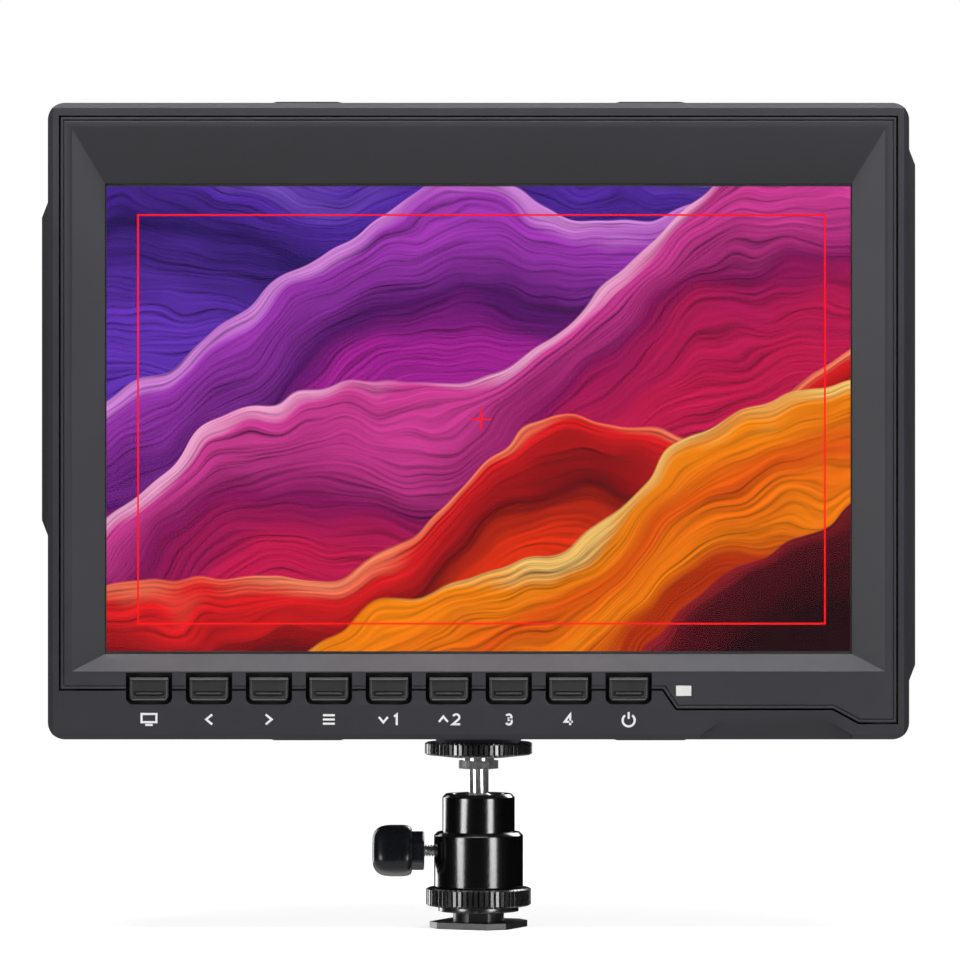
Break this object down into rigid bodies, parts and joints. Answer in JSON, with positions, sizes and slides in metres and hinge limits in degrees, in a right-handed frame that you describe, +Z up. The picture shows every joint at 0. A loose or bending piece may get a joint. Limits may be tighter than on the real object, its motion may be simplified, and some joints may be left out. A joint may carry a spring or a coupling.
{
  "type": "camera field monitor",
  "caption": "Flat camera field monitor with a wide screen and a button row below it, on a mini ball head with knurled wheels, a side knob and a shoe foot.",
  "frame": {"origin": "middle of the shoe foot's underside, on the ball head's axis", "axes": "+X to the right seen from the front, +Y towards the back, +Z up; the screen faces -Y"},
  "size_m": [0.1786, 0.0328, 0.1681],
  "materials": {
    "black_metal": "gloss black anodised",
    "wheel_metal": "satin black anodised",
    "brass_metal": "turned",
    "nylon": "natural nylon",
    "chrome_metal": "polished",
    "steel_metal": "bright zinc",
    "pad_rubber": "matt black",
    "knob_plastic": "satin black",
    "casing": "fine-grained dark grey",
    "bezel": "fine-grained dark grey",
    "cover_glass": "polished",
    "display": "lit picture",
    "diffuser": "white",
    "tray_steel": "plain sheet",
    "cap_plastic": "satin dark grey",
    "light_plastic": "clear, frosted",
    "board": "green solder mask",
    "chip": "moulded black",
    "sink": "extruded",
    "socket_metal": "plated",
    "flex": "amber film",
    "lead": "red sleeve",
    "strip_plastic": "matt dark grey",
    "plate_plastic": "matt black",
    "contact_metal": "gold plated",
    "screw_metal": "black oxide"
  },
  "bodies": {
    "foot": {"shoe_foot": "wheel_metal", "head_housing": "black_metal", "housing_plug": "brass_metal"},
    "washer": {"clamp_washer": "wheel_metal"},
    "lock_wheel_body": {"lock_wheel": "wheel_metal"},
    "knob_pad": {"clamp_pad": "brass_metal"},
    "knob": {"lock_knob": "knob_plastic", "knob_screw": "steel_metal"},
    "seat": {"ball_seat": "nylon"},
    "ball": {"ball_stem": "chrome_metal"},
    "stud_pad": {"top_pad": "pad_rubber"},
    "stud_wheel": {"top_wheel": "wheel_metal"},
    "monitor": {"front_frame": "casing", "bezel_panel": "bezel", "screen_glass": "cover_glass", "lcd_panel": "display", "light_panel": "diffuser", "panel_tray": "tray_steel", "key_mat": "pad_rubber", "status_light": "light_plastic", "key_board": "board", "key_switches": "chip", "main_board": "board", "board_chips": "chip", "heat_sink": "sink", "video_input": "socket_metal", "video_output": "socket_metal", "headphone_socket": "chip", "power_socket": "chip", "data_socket": "socket_metal", "panel_cable": "flex", "key_cable": "flex", "battery_lead": "lead", "rear_cover": "casing", "left_port_strip": "strip_plastic", "right_port_strip": "strip_plastic", "socket_block": "casing", "threaded_insert": "brass_metal", "battery_plate": "plate_plastic", "battery_contacts": "contact_metal", "latch_spring": "steel_metal", "case_screws": "screw_metal", "board_screws": "steel_metal", "plate_screws": "screw_metal"},
    "input_button_cap": {"input_button": "cap_plastic"},
    "left_button_cap": {"left_button": "cap_plastic"},
    "right_button_cap": {"right_button": "cap_plastic"},
    "menu_button_cap": {"menu_button": "cap_plastic"},
    "down_button_cap": {"down_button": "cap_plastic"},
    "up_button_cap": {"up_button": "cap_plastic"},
    "preset_3_button_cap": {"preset_3_button": "cap_plastic"},
    "preset_4_button_cap": {"preset_4_button": "cap_plastic"},
    "power_button_cap": {"power_button": "cap_plastic"},
    "latch": {"battery_latch": "plate_plastic"}
  },
  "joints": [
    {"name": "washer_slide", "type": "slide", "parent": "foot", "child": "washer", "axis": [0, 0, 1], "range_m": [-0.0008, 0]},
    {"name": "lock_wheel_turn", "type": "hinge", "parent": "washer", "child": "lock_wheel_body", "pos_m": [0, 0, 0.0062], "axis": [0, 0, 1], "range_deg": [-228, 0]},
    {"name": "knob_pad_slide", "type": "slide", "parent": "foot", "child": "knob_pad", "axis": [1, 0, 0], "range_m": [-0.00045, 0]},
    {"name": "knob_turn", "type": "hinge", "parent": "knob_pad", "child": "knob", "pos_m": [-0.0136, 0, 0.0156], "axis": [1, 0, 0], "range_deg": [-361, 0]},
    {"name": "pan", "type": "hinge", "parent": "foot", "child": "seat", "pos_m": [0, 0, 0.0218], "axis": [0, 0, 1], "continuous": true},
    {"name": "tilt", "type": "hinge", "parent": "seat", "child": "ball", "pos_m": [0, 0, 0.0218], "axis": [1, 0, 0], "range_deg": [-28, 28]},
    {"name": "monitor_turn", "type": "hinge", "parent": "ball", "child": "monitor", "pos_m": [0, 0, 0.0379], "axis": [0, 0, 1], "continuous": true},
    {"name": "stud_pad_slide", "type": "slide", "parent": "ball", "child": "stud_pad", "axis": [0, 0, 1], "range_m": [-0.0005, 0]},
    {"name": "top_wheel_turn", "type": "hinge", "parent": "stud_pad", "child": "stud_wheel", "pos_m": [0, 0, 0.0365], "axis": [0, 0, 1], "range_deg": [-143, 0]},
    {"name": "input_button_press", "type": "slide", "parent": "monitor", "child": "input_button_cap", "axis": [0, 1, 0], "range_m": [0, 0.0006], "stiffness_N_per_m": 1500, "springref_m": -0.0004},
    {"name": "left_button_press", "type": "slide", "parent": "monitor", "child": "left_button_cap", "axis": [0, 1, 0], "range_m": [0, 0.0006], "stiffness_N_per_m": 1500, "springref_m": -0.0004},
    {"name": "right_button_press", "type": "slide", "parent": "monitor", "child": "right_button_cap", "axis": [0, 1, 0], "range_m": [0, 0.0006], "stiffness_N_per_m": 1500, "springref_m": -0.0004},
    {"name": "menu_button_press", "type": "slide", "parent": "monitor", "child": "menu_button_cap", "axis": [0, 1, 0], "range_m": [0, 0.0006], "stiffness_N_per_m": 1500, "springref_m": -0.0004},
    {"name": "down_button_press", "type": "slide", "parent": "monitor", "child": "down_button_cap", "axis": [0, 1, 0], "range_m": [0, 0.0006], "stiffness_N_per_m": 1500, "springref_m": -0.0004},
    {"name": "up_button_press", "type": "slide", "parent": "monitor", "child": "up_button_cap", "axis": [0, 1, 0], "range_m": [0, 0.0006], "stiffness_N_per_m": 1500, "springref_m": -0.0004},
    {"name": "preset_3_button_press", "type": "slide", "parent": "monitor", "child": "preset_3_button_cap", "axis": [0, 1, 0], "range_m": [0, 0.0006], "stiffness_N_per_m": 1500, "springref_m": -0.0004},
    {"name": "preset_4_button_press", "type": "slide", "parent": "monitor", "child": "preset_4_button_cap", "axis": [0, 1, 0], "range_m": [0, 0.0006], "stiffness_N_per_m": 1500, "springref_m": -0.0004},
    {"name": "power_button_press", "type": "slide", "parent": "monitor", "child": "power_button_cap", "axis": [0, 1, 0], "range_m": [0, 0.0006], "stiffness_N_per_m": 1500, "springref_m": -0.0004},
    {"name": "latch_press", "type": "slide", "parent": "monitor", "child": "latch", "axis": [0, -1, 0], "range_m": [0, 0.0018], "stiffness_N_per_m": 500, "springref_m": -0.002, "deforming": ["latch_spring"]}
  ],
  "couplings": [
    {"joint": "lock_wheel_turn", "follows": "washer_slide", "rad_per_m": 4947.4},
    {"joint": "knob_turn", "follows": "knob_pad_slide", "rad_per_m": 13963},
    {"joint": "top_wheel_turn", "follows": "stud_pad_slide", "rad_per_m": 4947.4}
  ]
}
